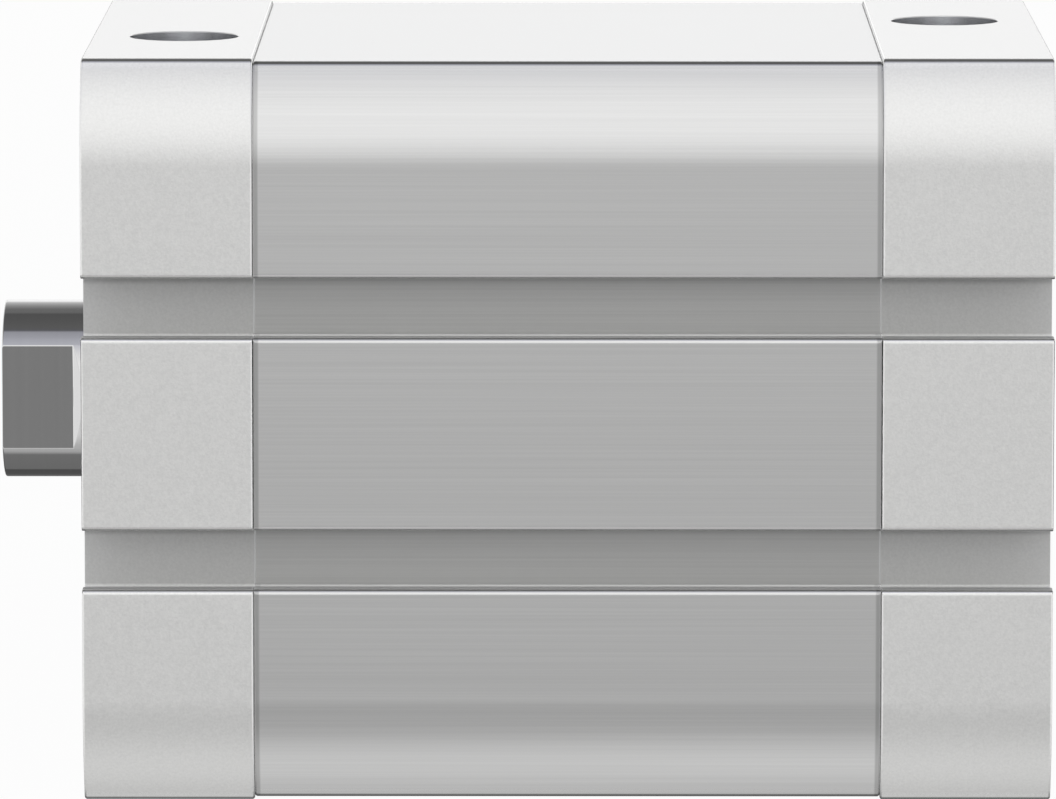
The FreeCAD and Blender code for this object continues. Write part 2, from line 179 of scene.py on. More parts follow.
def grid_faces(rows, columns, wrap_rows, wrap_columns):
    """Corner numbers of the quads of a grid, whose point (i, j) has the number i * columns + j."""
    i = np.arange(rows if wrap_rows else rows - 1)[:, None]
    j = np.arange(columns if wrap_columns else columns - 1)[None, :]
    down, right = (i + 1) % rows, (j + 1) % columns
    corners = [i * columns + j, down * columns + j, down * columns + right, i * columns + right]
    return np.stack([c.ravel() for c in np.broadcast_arrays(*corners)], axis=-1)


print("faces of a grid of 3 by 4 points that closes both ways:", len(grid_faces(3, 4, True, True)))

# %% A grid as a piece
def mesh_piece(name, grids, material, smooth_below=40):
    """One object in metres from several (points in mm, faces), merged, closed and facing outwards."""
    offsets = np.cumsum([0] + [len(points) for points, _ in grids])
    points = np.vstack([points for points, _ in grids]) * MM
    faces = np.vstack([faces + start for (_, faces), start in zip(grids, offsets)])
    mesh = bpy.data.meshes.new(name)
    mesh.from_pydata(points.tolist(), [], faces.tolist())
    work = bmesh.new()
    work.from_mesh(mesh)
    bmesh.ops.remove_doubles(work, verts=work.verts, dist=MERGE_DISTANCE / 4)
    bmesh.ops.recalc_face_normals(work, faces=work.faces)
    work.to_mesh(mesh)
    work.free()
    mesh.shade_smooth()
    mesh.set_sharp_from_angle(angle=math.radians(smooth_below))
    mesh.materials.append(material)
    print("%-28s %6d faces" % (name, len(mesh.polygons)))
    return link(bpy.data.objects.new(name, mesh))


# %% Softened corners
def rounded_loop(corners, radius, steps=5):
    """A closed half section of (x, r) corners, each corner replaced by a curve.

    At a corner b the curve is (1-t)^2 p + 2t(1-t) b + t^2 q, where p and q lie on the two
    sides, at the rounding's radius from b or at 45% of a side that is too short for it.
    """
    b = np.asarray(corners, float)
    before, after = np.roll(b, 1, axis=0) - b, np.roll(b, -1, axis=0) - b
    length_before = np.linalg.norm(before, axis=1, keepdims=True)
    length_after = np.linalg.norm(after, axis=1, keepdims=True)
    reach = np.minimum(radius, 0.45 * np.minimum(length_before, length_after))
    p = (b + before / length_before * reach)[:, None]
    q = (b + after / length_after * reach)[:, None]
    t = np.linspace(0, 1, steps)[None, :, None]
    return ((1 - t) ** 2 * p + 2 * t * (1 - t) * b[:, None] + t ** 2 * q).reshape(-1, 2)


print("points of a softened square:", len(rounded_loop([(0, 0), (1, 0), (1, 1), (0, 1)], 0.2)))

# %% [markdown]
# ## Effects that several finishes share
#
# Machined and brushed metal is a flat colour only from far away. Close up, a belt or a cutter
# has left streaks, blasting has left tiny pits, and handling has left faint clouds. Each of
# these effects is a node group that is built once. A material places the group with its own
# scale and feeds its outputs to colour, roughness and bump.

# %% Node helpers
def add(tree, kind, **settings):
    """A new node with the named properties or inputs set."""
    node = tree.nodes.new(kind)
    for name, value in settings.items():
        if hasattr(node, name):
            setattr(node, name, value)
        else:
            node.inputs[name.replace("_", " ")].default_value = value
    return node


def plug(tree, value, socket):
    """Feed a socket from another node's output, or set it to a plain number."""
    if isinstance(value, bpy.types.NodeSocket):
        tree.links.new(value, socket)
    else:
        socket.default_value = value


def calc(tree, operation, *values):
    """One Math node, with sockets or numbers as its inputs."""
    node = add(tree, "ShaderNodeMath", operation=operation)
    for value, socket in zip(values, node.inputs):
        plug(tree, value, socket)
    return node.outputs[0]


def product(tree, *values):
    """All the values multiplied: of masks, this leaves where every one of them is."""
    result = values[0]
    for value in values[1:]:
        result = calc(tree, "MULTIPLY", result, value)
    return result


def opposite(tree, mask):
    return calc(tree, "SUBTRACT", 1.0, mask)


# %% Ramps, mixes and places
def ramp(tree, value, low, high, to_low=0.0, to_high=1.0, smooth=False):
    """The value stretched so that low becomes to_low and high becomes to_high, and held there."""
    node = add(tree, "ShaderNodeMapRange", interpolation_type="SMOOTHSTEP" if smooth else "LINEAR")
    for name, number in (("From Min", low), ("From Max", high), ("To Min", to_low), ("To Max", to_high)):
        node.inputs[name].default_value = number
    plug(tree, value, node.inputs["Value"])
    return node.outputs["Result"]


NOISE_LOW, NOISE_HIGH = 0.3, 0.7          # nearly all values of a noise texture lie between these


def from_noise(tree, noise, low=0.0, high=1.0):
    """A noise texture's value, stretched to run from low to high."""
    return ramp(tree, noise, NOISE_LOW, NOISE_HIGH, low, high)


def blend(tree, factor, a, b, kind="FLOAT", mode="MIX"):
    """The mix of a and b, which are numbers or colours, or a times b where the mode is MULTIPLY."""
    node = add(tree, "ShaderNodeMix", data_type=kind, blend_type=mode)
    own = [s for s in node.inputs if s.type == ("RGBA" if kind == "RGBA" else "VALUE") and s.name in "AB"]
    plug(tree, factor, node.inputs["Factor"])
    plug(tree, a, own[0])
    plug(tree, b, own[1])
    return [s for s in node.outputs if s.type == own[0].type][0]


def here(tree):
    """The piece's own coordinates as separate X, Y and Z in metres."""
    place = tree.nodes.new("ShaderNodeTexCoord")
    parts = tree.nodes.new("ShaderNodeSeparateXYZ")
    tree.links.new(place.outputs["Object"], parts.inputs[0])
    return parts.outputs


print("noise from %.1f to %.1f is stretched to the full range" % (NOISE_LOW, NOISE_HIGH))

# %% Streaks, grain and clouds
VECTOR, FLOAT = "NodeSocketVector", "NodeSocketFloat"


def new_group(name, inputs, outputs):
    """An empty shader group with named sockets, and its input and output nodes."""
    tree = bpy.data.node_groups.new(name, "ShaderNodeTree")
    for socket, kind in inputs.items():
        tree.interface.new_socket(socket, in_out="INPUT", socket_type=kind)
    for socket in outputs:
        tree.interface.new_socket(socket, in_out="OUTPUT", socket_type=FLOAT)
    return tree, tree.nodes.new("NodeGroupInput").outputs, tree.nodes.new("NodeGroupOutput").inputs


def scaled_place(tree, scale):
    """The piece's own coordinates, multiplied by a scale in 1/m along each axis."""
    place = tree.nodes.new("ShaderNodeTexCoord")
    scaled = add(tree, "ShaderNodeVectorMath", operation="MULTIPLY")
    tree.links.new(place.outputs["Object"], scaled.inputs[0])
    tree.links.new(scale, scaled.inputs[1])
    return scaled.outputs[0]


def texture_outputs(tree, vector, kind, **settings):
    texture = add(tree, kind, **settings)
    tree.links.new(vector, texture.inputs["Vector"])
    return texture.outputs


def build_streaks():
    """Two layers of noise, stretched by the scale vector: fine scratches and broader bands."""
    tree, given, result = new_group("Streaks", {"Scale": VECTOR}, ("Fine", "Broad"))
    vector = scaled_place(tree, given["Scale"])
    fine = texture_outputs(tree, vector, "ShaderNodeTexNoise", Scale=1.0, Detail=3.0, Roughness=0.6)
    broad = texture_outputs(tree, vector, "ShaderNodeTexNoise", Scale=0.22, Detail=2.0, Roughness=0.5)
    tree.links.new(fine["Fac"], result["Fine"])
    tree.links.new(broad["Fac"], result["Broad"])
    return tree


def build_grain():
    """Blasted skin: noise for the uneven ground, and round pits from the distance to strewn points."""
    tree, given, result = new_group("Blasted grain", {"Scale": VECTOR}, ("Height", "Tone"))
    vector = scaled_place(tree, given["Scale"])
    ground = texture_outputs(tree, vector, "ShaderNodeTexNoise", Scale=0.7, Detail=3.0, Roughness=0.65)
    pits = texture_outputs(tree, vector, "ShaderNodeTexVoronoi", feature="SMOOTH_F1", Scale=1.0)
    tree.links.new(calc(tree, "ADD", ground["Fac"], pits["Distance"]), result["Height"])
    tree.links.new(ground["Fac"], result["Tone"])
    return tree


def build_clouds():
    """Faint large patches from handling and uneven plating, from 0 to 1."""
    tree, given, result = new_group("Clouds", {"Scale": VECTOR}, ("Mask",))
    vector = scaled_place(tree, given["Scale"])
    patches = texture_outputs(tree, vector, "ShaderNodeTexNoise", Scale=1.0, Detail=4.0, Roughness=0.55)
    tree.links.new(ramp(tree, patches["Fac"], 0.35, 0.65, smooth=True), result["Mask"])
    return tree


streaks, grain, clouds = build_streaks(), build_grain(), build_clouds()
print("shared effects:", [g.name for g in bpy.data.node_groups])

# %% [markdown]
# ## Zones of the housing
#
# The same bar of metal has areas that were worked differently. The belt that brushed the
# barrel didn't reach into the T-slots, so they kept a dull skin, whose darker colour is partly
# that skin and partly painted shade in the recess. Painted shade darkens the lips, the upper
# lips' rounded rims and the strip right under each upper lip. The floor's round corners are a
# little polished, where the profile was drawn through its die. The top faces were milled flat,
# the long edges and slot mouths are smooth, and the edges at the two joints get a painted
# highlight.
#
# One could paint masks or cut the mesh into parts. These zones follow the drawing, though, so
# it is simpler and sharper to find them from the position on the piece. One group does it for
# the barrel and for both caps.

# %% Zones of the T-slots
SLOT_PLACE = 11.1 * MM           # middle of each T-slot from the middle plane
SLOT_FLOOR = 27.4 * MM           # just under the slots' floors
SLOT_LIP = 30.77 * MM            # inner side of the lips
SLOT_HALF = 3.3 * MM
MOUTH_HALF = 2.63 * MM
FLOOR_CORNER = 2.75 * MM         # the rounded corners of the floor lie outside this
CORNER_HEIGHT = 0.6 * MM
CORNER_SHINE = 0.45              # how far they lost the dull skin
LIP_BAND = 0.1 * MM              # either side of the lips' facing sides
SKIN = 0.48 * MM                 # the mouth's rounding
RIM_MIDDLE, RIM_REACH = 0.2 * SKIN, 0.4 * SKIN         # where it starts beside the mouth


def inside_slot(tree, depth, across, half):
    """Masks of a T-slot that opens along depth: dull skin, facing sides of the lips for painted shade,
    round mouth.
    """
    off = calc(tree, "ABSOLUTE", calc(tree, "SUBTRACT", calc(tree, "ABSOLUTE", across), SLOT_PLACE))
    in_lips = calc(tree, "GREATER_THAN", depth, SLOT_LIP)
    inside = calc(tree, "LESS_THAN", off, blend(tree, in_lips, SLOT_HALF, MOUTH_HALF))
    below_skin = calc(tree, "LESS_THAN", depth, calc(tree, "SUBTRACT", half, SKIN))
    above_floor = calc(tree, "GREATER_THAN", depth, SLOT_FLOOR)
    by_corner = calc(tree, "GREATER_THAN", off, FLOOR_CORNER)
    on_floor = calc(tree, "LESS_THAN", depth, SLOT_FLOOR + CORNER_HEIGHT)
    corner = product(tree, by_corner, on_floor, CORNER_SHINE)
    dull = product(tree, inside, below_skin, above_floor, opposite(tree, corner))
    # The lips' facing sides, which get painted shade.
    lip = product(tree, in_lips, calc(tree, "COMPARE", off, MOUTH_HALF, LIP_BAND), below_skin)
    by_mouth = calc(tree, "COMPARE", off, MOUTH_HALF + RIM_MIDDLE, RIM_REACH)
    return dull, lip, product(tree, by_mouth, opposite(tree, below_skin))


print("slots' floors %.1f mm from the middle, skin %.2f mm deep" % (SLOT_FLOOR / MM, SKIN / MM))

# %% All zones in one group
EDGE_BAND = 0.95 * MM            # rounding between the sides and the top or bottom
EDGE_FULL = 0.45 * MM            # the part of it that is smooth all over
LIP_SHADE = 1.2 * MM             # the darker strip under each upper lip
TOP_SKIN = 0.008 * MM
JOINT_MIDDLE = (front_joint + rear_joint) / 2 * MM
JOINT_REACH = (rear_joint - front_joint) / 2 * MM
JOINT_LINE = 0.08 * MM           # half width of the edges beside each joint
SEAM_DEPTH = 1.5 * JOINT_LINE    # the part of them that lies at the top or bottom


def build_zones():
    """Masks: slots, painted shade in them, smooth edges, milled top, edges at the joints for a painted
    highlight, seam on top.
    """
    outputs = ("Slot", "Shade", "Edge", "Top", "Joint", "Seam")
    tree, given, result = new_group("Housing zones", {"Half": FLOAT}, outputs)
    x, y, z = here(tree)
    side = inside_slot(tree, calc(tree, "ABSOLUTE", y), z, given["Half"])
    below = inside_slot(tree, product(tree, z, -1.0), y, given["Half"])
    slot, lip, mouth = (calc(tree, "MAXIMUM", one, other) for one, other in zip(side, below))
    from_middle = calc(tree, "ABSOLUTE", calc(tree, "SUBTRACT", x, JOINT_MIDDLE))
    joint = calc(tree, "COMPARE", from_middle, JOINT_REACH, JOINT_LINE)
    tree.links.new(slot, result["Slot"])
    # Painted shade: right under each upper lip, on its rounded rim, and on the lips' facing sides.
    above = calc(tree, "SUBTRACT", z, product(tree, calc(tree, "SIGN", z), SLOT_PLACE))
    under_lip_shade = ramp(tree, above, MOUTH_HALF - LIP_SHADE, MOUTH_HALF - 0.5 * LIP_SHADE, smooth=True)
    under_lip_shade = product(tree, calc(tree, "MAXIMUM", slot, side[2]), under_lip_shade)
    tree.links.new(calc(tree, "MAXIMUM", under_lip_shade, lip), result["Shade"])
    height = calc(tree, "ABSOLUTE", z)
    under = calc(tree, "SUBTRACT", given["Half"], height)
    band = calc(tree, "MAXIMUM", ramp(tree, under, EDGE_BAND, EDGE_FULL, smooth=True), mouth)
    top = calc(tree, "GREATER_THAN", height, calc(tree, "SUBTRACT", given["Half"], TOP_SKIN))
    tree.links.new(calc(tree, "SUBTRACT", band, top), result["Edge"])
    tree.links.new(top, result["Top"])
    seam = product(tree, joint, calc(tree, "LESS_THAN", under, SEAM_DEPTH))
    tree.links.new(seam, result["Seam"])
    tree.links.new(calc(tree, "SUBTRACT", joint, seam), result["Joint"])
    return tree


zones = build_zones()
print("zones:", [s.name for s in zones.interface.items_tree])

# %% [markdown]
# ## Metal finishes
#
# Every finish below has the same skeleton. A mask from one of the shared effects goes into the
# base colour's brightness and into the roughness, and a height goes through a Bump node into
# the normal. What differs is the metal underneath, and how coarse and strong the marks are.

# %% Material skeleton
def new_material(name, colour, metallic, roughness):
    """A material whose shader has the plain values set on its own sockets."""
    material = bpy.data.materials.new(name)
    material.use_nodes = True
    shader = material.node_tree.nodes["Principled BSDF"]
    shader.inputs["Base Color"].default_value = (*colour, 1)
    shader.inputs["Metallic"].default_value = metallic
    shader.inputs["Roughness"].default_value = roughness
    material.diffuse_color = (*colour, 1)
    return material, material.node_tree, shader


def place_group(tree, group, **values):
    node = add(tree, "ShaderNodeGroup", node_tree=group)
    for name, value in values.items():
        node.inputs[name].default_value = value
    return node.outputs


def shade(colour, factor):
    """A colour with every channel multiplied, as the four numbers that a socket takes."""
    return (*(min(1.0, c * factor) for c in colour), 1)


def add_bump(tree, shader, height, depth):
    """Relief of the given depth in metres."""
    bump = add(tree, "ShaderNodeBump", Strength=1.0, Distance=depth)
    tree.links.new(height, bump.inputs["Height"])
    tree.links.new(bump.outputs["Normal"], shader.inputs["Normal"])


def marked_metal(name, colour, roughness, group, scale, outputs, depth, darker=0.94, spread=0.04):
    """A metal with marks from a shared group, in colour, roughness and relief."""
    material, tree, shader = new_material(name, colour, 1.0, roughness)
    marks = place_group(tree, group, Scale=scale)
    tone, height = (marks[o] for o in outputs)
    colours = blend(tree, from_noise(tree, tone), shade(colour, darker), shade(colour, 1), "RGBA")
    tree.links.new(colours, shader.inputs["Base Color"])
    rough = from_noise(tree, tone, roughness - spread, roughness + spread)
    tree.links.new(rough, shader.inputs["Roughness"])
    add_bump(tree, shader, height, depth)
    return material


print("a mid grey, a tenth lighter:", shade((0.5, 0.5, 0.5), 1.1))

# %% [markdown]
# ## The barrel's finish
#
# The barrel is extruded aluminium, brushed along its length and anodised. An anisotropic
# shader could smear the reflections, but it needs tangents and hides the single scratches.
# Here the streaks themselves do it: noise stretched along the bore goes into the colour, the
# roughness and the relief. The milled top also scatters light, so it is only half metallic.

# %% Finishes that the barrel and the caps share
# The slots' skin colour is darker than outside: partly a duller skin, partly painted shade in the recess.
SLOT_SKIN_AND_SHADE_COLOUR = (0.62, 0.62, 0.61)          # the dull skin that is left in the slots
SLOT_MARKS = (0.95, 1.05)                 # darkest and lightest marks, as factors on the colour
SLOT_METAL = 0.15                         # how much of it still mirrors
TOP_METAL = 0.5                           # the milled tops are anodised, so they also scatter light
MILLED_ROUGH = 0.13
# Painted highlight on the edges beside the joints.
JOINT_HIGHLIGHT_COLOUR = (0.92, 0.92, 0.92, 1)
SEAM_COLOUR = (0.22, 0.22, 0.22, 1)


def marked_colour(tree, tone, colour, marks):
    """The colour times the first of two factors where the tone is 0, and the second where it is 1."""
    return blend(tree, tone, shade(colour, marks[0]), shade(colour, marks[1]), "RGBA")


def slot_skin_and_shade(tree, zone, tone, colour, brightness, shaded):
    """The slots' skin with the same marks as outside, in a colour that is partly painted shade, with more
    painted shade on the lips and right under them.
    """
    skin = marked_colour(tree, tone, SLOT_SKIN_AND_SHADE_COLOUR, [mark * brightness for mark in SLOT_MARKS])
    colour = blend(tree, zone["Slot"], colour, skin, "RGBA")
    return blend(tree, zone["Shade"], colour, (shaded, shaded, shaded, 1), "RGBA", "MULTIPLY")


def joint_highlight_and_seam(tree, zone, colour):
    """A painted highlight on the edges beside the joints, and the dark seam that shows between the tops."""
    colour = blend(tree, zone["Joint"], colour, JOINT_HIGHLIGHT_COLOUR, "RGBA")
    return blend(tree, zone["Seam"], colour, SEAM_COLOUR, "RGBA")


def zone_metal(tree, zone):
    """Full metal on the sides, less of it on the milled top, and little in the slots."""
    return blend(tree, zone["Top"], blend(tree, zone["Slot"], 1.0, SLOT_METAL), TOP_METAL)


def zone_rough(tree, zone, rough, edge_rough):
    """The given roughness, smoother on the milled top, the edges and beside the joints."""
    rough = blend(tree, zone["Top"], rough, MILLED_ROUGH)
    return blend(tree, calc(tree, "MAXIMUM", zone["Edge"], zone["Joint"]), rough, edge_rough)


print("slots keep %.0f%% of their mirror, milled tops %.0f%%" % (100 * SLOT_METAL, 100 * TOP_METAL))

# %% The barrel's brushed profile
PROFILE_COLOUR = (0.82, 0.82, 0.816)
PROFILE_MARKS = (0.952, 1.033)
PROFILE_ROUGH, PROFILE_SPREAD = 0.33, 0.012
PROFILE_RELIEF = 1.2e-6                   # depth of the streaks in metres
PROFILE_TOP = 1.06                        # brightness of the milled top
# Brightness of the slots' skin, and the factor of the painted shade on and under the lips.
PROFILE_SLOT, PROFILE_SHADED = 1.02, 0.80
STREAK_SCALE = (14.0, 5200.0, 5200.0)     # long along the bore, about 0.2 mm across it
PROFILE_EDGE = 0.14                       # roughness of the smooth edges
# Painted shadow: a darker band at each end of the barrel, where the caps' raised edges would shade it.
END_SHADOW_BAND = 0.58 * MM                      # width of the darker zone at the sawn ends
END_FADE = 0.65                           # of that width, where it is dark all over
END_SHADE = 0.70


def make_profile():
    """Brushed along the bore, dull in the slots, smooth on the edges and the milled top, with a painted
    shadow at both ends.
    """
    material, tree, shader = new_material("brushed_profile", PROFILE_COLOUR, 1.0, PROFILE_ROUGH)
    marks = place_group(tree, streaks, Scale=STREAK_SCALE)
    zone = place_group(tree, zones, Half=barrel_half * MM)
    from_middle = calc(tree, "ABSOLUTE", calc(tree, "SUBTRACT", here(tree)["X"], JOINT_MIDDLE))
    # Painted shadow at both ends of the barrel.
    end = ramp(tree, from_middle, JOINT_REACH - END_SHADOW_BAND, JOINT_REACH - END_FADE * END_SHADOW_BAND, smooth=True)
    tone = from_noise(tree, marks["Fine"])
    colour = marked_colour(tree, tone, PROFILE_COLOUR, PROFILE_MARKS)
    colour = blend(tree, end, colour, shade(PROFILE_COLOUR, END_SHADE), "RGBA")
    colour = blend(tree, zone["Top"], colour, shade(PROFILE_COLOUR, PROFILE_TOP), "RGBA")
    colour = slot_skin_and_shade(tree, zone, tone, colour, PROFILE_SLOT, PROFILE_SHADED)
    colour = joint_highlight_and_seam(tree, zone, colour)
    tree.links.new(colour, shader.inputs["Base Color"])
    tree.links.new(zone_metal(tree, zone), shader.inputs["Metallic"])
    rough = from_noise(tree, marks["Broad"], PROFILE_ROUGH - PROFILE_SPREAD, PROFILE_ROUGH + PROFILE_SPREAD)
    tree.links.new(zone_rough(tree, zone, rough, PROFILE_EDGE), shader.inputs["Roughness"])
    add_bump(tree, shader, marks["Fine"], PROFILE_RELIEF)
    return material


brushed_profile = make_profile()
print("brushed_profile:", len(brushed_profile.node_tree.nodes), "nodes")

# %% [markdown]
# ## The caps' finish
#
# The caps are die-cast and then blasted with fine beads, which leaves a paler, matt skin with
# tiny pits. Their tops are milled, and a drill and a tap have cut the port. The pits come from
# a cell texture rather than from noise, because each bead leaves a round dent. The port's
# walls are found by their distance from its axis. Beside the axis the port is painted darker,
# a painted reflection of its walls mirroring each other.

# %% The blasted casting of the caps
CAST_COLOUR = (0.98, 0.98, 0.968)
CAST_MARKS = (0.93, 1.02)
CAST_ROUGH, CAST_SPREAD = 0.44, 0.03
CAST_RELIEF = 6e-6                        # depth of the pits in metres
# Brightness of the slots' skin, and the factor of the painted shade on and under the lips.
CAST_SLOT, CAST_SHADED = 1.10, 0.68
CAST_EDGE = 0.13                          # roughness of the smooth edges
CAST_SCALE = (6000.0, 6000.0, 6000.0)     # pits about 0.17 mm apart
PORT_COLOUR = (0.90, 0.91, 0.93)
PORT_ROUGH = 0.25
PORT_ROOM = 4.95 * MM                     # a little more than the port's radius
PORT_DEPTH = 20.0 * MM                    # the tapped hole is shallower than this
PORT_EDGE = 0.06 * MM                     # the milled top's part of the hole's edge
# Painted reflection: the port's wall is darker beside its axis, between these distances.
BESIDE_FROM, BESIDE_TO = 1.0 * MM, 2.4 * MM
BESIDE_SHADE = 0.72


def make_casting(name, port_x, port_y):
    """Blasted all over, milled smooth on top, with a smoother tapped hole round the port's axis, painted
    darker beside the axis.
    """
    material, tree, shader = new_material(name, CAST_COLOUR, 1.0, CAST_ROUGH)
    marks = place_group(tree, grain, Scale=CAST_SCALE)
    zone = place_group(tree, zones, Half=cap_half * MM)
    x, y, z = here(tree)
    along = calc(tree, "SUBTRACT", x, port_x * MM)
    aside = calc(tree, "SUBTRACT", y, port_y * MM)
    squares = calc(tree, "ADD", product(tree, along, along), product(tree, aside, aside))
    near = calc(tree, "LESS_THAN", squares, PORT_ROOM ** 2)
    middle = cap_half * MM - PORT_EDGE - PORT_DEPTH / 2
    in_depth = calc(tree, "COMPARE", z, middle, PORT_DEPTH / 2)
    in_port = product(tree, near, in_depth)
    tone = from_noise(tree, marks["Tone"])
    colour = marked_colour(tree, tone, CAST_COLOUR, CAST_MARKS)
    colour = slot_skin_and_shade(tree, zone, tone, colour, CAST_SLOT, CAST_SHADED)
    # Painted reflection: darker beside the port's axis, as if its walls mirrored each other.
    beside = ramp(tree, calc(tree, "ABSOLUTE", along), BESIDE_FROM, BESIDE_TO, smooth=True)
    port_colour = marked_colour(tree, beside, PORT_COLOUR, (1, BESIDE_SHADE))
    colour = joint_highlight_and_seam(tree, zone, blend(tree, in_port, colour, port_colour, "RGBA"))
    tree.links.new(colour, shader.inputs["Base Color"])
    tree.links.new(zone_metal(tree, zone), shader.inputs["Metallic"])
    rough = from_noise(tree, marks["Tone"], CAST_ROUGH - CAST_SPREAD, CAST_ROUGH + CAST_SPREAD)
    rough = zone_rough(tree, zone, rough, CAST_EDGE)
    tree.links.new(blend(tree, in_port, rough, PORT_ROUGH), shader.inputs["Roughness"])
    flat = calc(tree, "MAXIMUM", calc(tree, "MAXIMUM", zone["Top"], zone["Edge"]), in_port)
    add_bump(tree, shader, product(tree, marks["Height"], opposite(tree, flat)), CAST_RELIEF)
    return material


PORT_FROM_FACE = 8.2                      # of each port's axis from its cap's outer face
PORT_ASIDE = 8.0                          # from the middle plane, to opposite sides
front_port = (front_face + PORT_FROM_FACE, -PORT_ASIDE)
rear_port = (rear_face - PORT_FROM_FACE, PORT_ASIDE)
front_casting = make_casting("front_cap_casting", *front_port)
rear_casting = make_casting("rear_cap_casting", *rear_port)
print("castings with ports at", front_port, "and", rear_port)

# %% [markdown]
# ## Steel, zinc, alloy and bronze
#
# The rod is ground and chromed, so it is almost a mirror with hair-fine rings. The slopes that
# a cutter left where its spanner flats end are painted lighter, a painted highlight, and the
# drilled hole is duller. Screws and nut are zinc plated, the piston is turned and the bush is
# sintered from bronze powder. They differ only in colour, roughness and marks, so one function
# makes them all, and cut_zones adds what only the rod has.

# %% Zones of the rod
FLATS_END = -2.0                          # where the cutter left the spanner flats, in mm
RUN_OUT = 0.87                            # length of the slope from there to the round rod
OVER_FLATS = 6.6                          # just more than half the distance across the flats
UNDER_SKIN = 7.93                         # just under the ground surface of the rod
IN_ROD_HOLE = 5.3                         # just over the radius of the hole in its end
# Painted highlight on the slopes at the ends of the spanner flats.
SLOPE_HIGHLIGHT_COLOUR = (0.99, 0.99, 0.99, 1)
HOLE_ROUGH = 0.3


def within(tree, value, low, high):
    """1 where the value lies between low and high, which are in millimetres."""
    return calc(tree, "COMPARE", value, (low + high) / 2 * MM, (high - low) / 2 * MM)


def cut_zones(material):
    """The slopes at the ends of the spanner flats get a painted highlight, and the drilled hole is duller.
    """
    tree = material.node_tree
    shader = tree.nodes["Principled BSDF"]
    x, y, z = here(tree)
    off_axis = calc(tree, "SQRT", calc(tree, "ADD", product(tree, y, y), product(tree, z, z)))
    under = within(tree, off_axis, OVER_FLATS, UNDER_SKIN)
    # Painted highlight on the slopes.
    slope = product(tree, under, within(tree, x, FLATS_END, FLATS_END + RUN_OUT))
    plain = shader.inputs["Base Color"].links[0].from_socket
    tree.links.new(blend(tree, slope, plain, SLOPE_HIGHLIGHT_COLOUR, "RGBA"), shader.inputs["Base Color"])
    in_hole = calc(tree, "LESS_THAN", off_axis, IN_ROD_HOLE * MM)
    plain = shader.inputs["Roughness"].links[0].from_socket
    tree.links.new(blend(tree, in_hole, plain, HOLE_ROUGH), shader.inputs["Roughness"])


print("flats' slopes from %.2f to %.2f mm" % (FLATS_END, FLATS_END + RUN_OUT))

# %% The other metals
TURNED = ("Broad", "Fine")                # streaks' tone and height
CAST = ("Tone", "Height")                 # grain's tone and height
# Each has a colour, a roughness, an effect with its scale and outputs, the relief's depth in
# metres, and where they aren't the usual ones its darkest mark and the spread of roughness.
ground_steel = marked_metal("ground_rod_steel", (0.78, 0.78, 0.78), 0.06, streaks,
                            (7000, 50, 50), TURNED, 3e-8, 0.98, 0.012)
cut_zones(ground_steel)
cut_thread = marked_metal("cut_rod_thread", (0.70, 0.70, 0.71), 0.24, streaks,
                          (7000, 300, 300), TURNED, 1e-6, 0.9)
zinc_plate = marked_metal("zinc_plated_screw", (0.66, 0.68, 0.72), 0.28, streaks,
                          (7000, 300, 300), TURNED, 1.5e-6, 0.9)
turned_alloy = marked_metal("turned_piston_alloy", (0.74, 0.74, 0.75), 0.26, streaks,
                            (8000, 200, 200), TURNED, 2e-6, 0.92)
sintered_bronze = marked_metal("sintered_bush_bronze", (0.55, 0.40, 0.22), 0.42, grain,
                               (9000, 9000, 9000), CAST, 4e-6, 0.7)
plated_nut = marked_metal("zinc_plated_nut", (0.58, 0.58, 0.56), 0.32, streaks,
                          (6000, 300, 300), TURNED, 1.5e-6, 0.88)
print("metals:", [m.name for m in bpy.data.materials if not m.name.startswith("of_")])

# %% [markdown]
# ## Rubber and plastic
#
# Seals are moulded, so their skin has a faint grain from the mould and a film of grease that
# makes them look patchy. A plain dark colour would look like paint. The grain and cloud
# groups are there already, so they are used again, with a dark colour and no metal.

# %% The rubbers and plastics
GREASE_SPREAD = 0.08                      # how much the roughness varies either way
CLOUD_SCALE = (120, 120, 120)             # patches about 8 mm wide


def moulded(name, colour, roughness, scale, depth, darker=0.8):
    """A rubber or plastic with moulding grain, and faint clouds of grease."""
    material, tree, shader = new_material(name, colour, 0.0, roughness)
    skin = place_group(tree, grain, Scale=(scale, scale, scale))
    patches = place_group(tree, clouds, Scale=CLOUD_SCALE)
    colours = blend(tree, patches["Mask"], shade(colour, darker), shade(colour, 1), "RGBA")
    tree.links.new(colours, shader.inputs["Base Color"])
    rough = from_noise(tree, skin["Tone"], roughness - GREASE_SPREAD, roughness + GREASE_SPREAD)
    tree.links.new(rough, shader.inputs["Roughness"])
    add_bump(tree, shader, skin["Height"], depth)
    return material


# Each has a colour, a roughness, the grain's scale and depth, and a few a paler dark patch
ring_rubber = moulded("nitrile_rubber", (0.025, 0.025, 0.026), 0.55, 7000, 4e-6)
cushion_rubber = moulded("cushion_polyurethane", (0.16, 0.17, 0.18), 0.5, 5000, 6e-6)
wiper_rubber = moulded("wiper_polyurethane", (0.09, 0.13, 0.15), 0.35, 6000, 3e-6)
lip_rubber = moulded("lip_seal_polyurethane", (0.12, 0.20, 0.22), 0.3, 6000, 3e-6)
band_plastic = moulded("guide_band_plastic", (0.70, 0.66, 0.56), 0.45, 5000, 3e-6, 0.9)
magnet_plastic = moulded("bonded_magnet", (0.07, 0.07, 0.075), 0.5, 9000, 5e-6, 0.85)
print("materials so far:", len(bpy.data.materials))

# %% [markdown]
# ## The housing
#
# The barrel is a sawn length of extruded profile and the caps are castings. Their forms could
# be modelled again here, but mounts, slots and ports have to stay where the frame has them.
# So rounded copies are the right tool, with just enough rounding to catch a line of light.

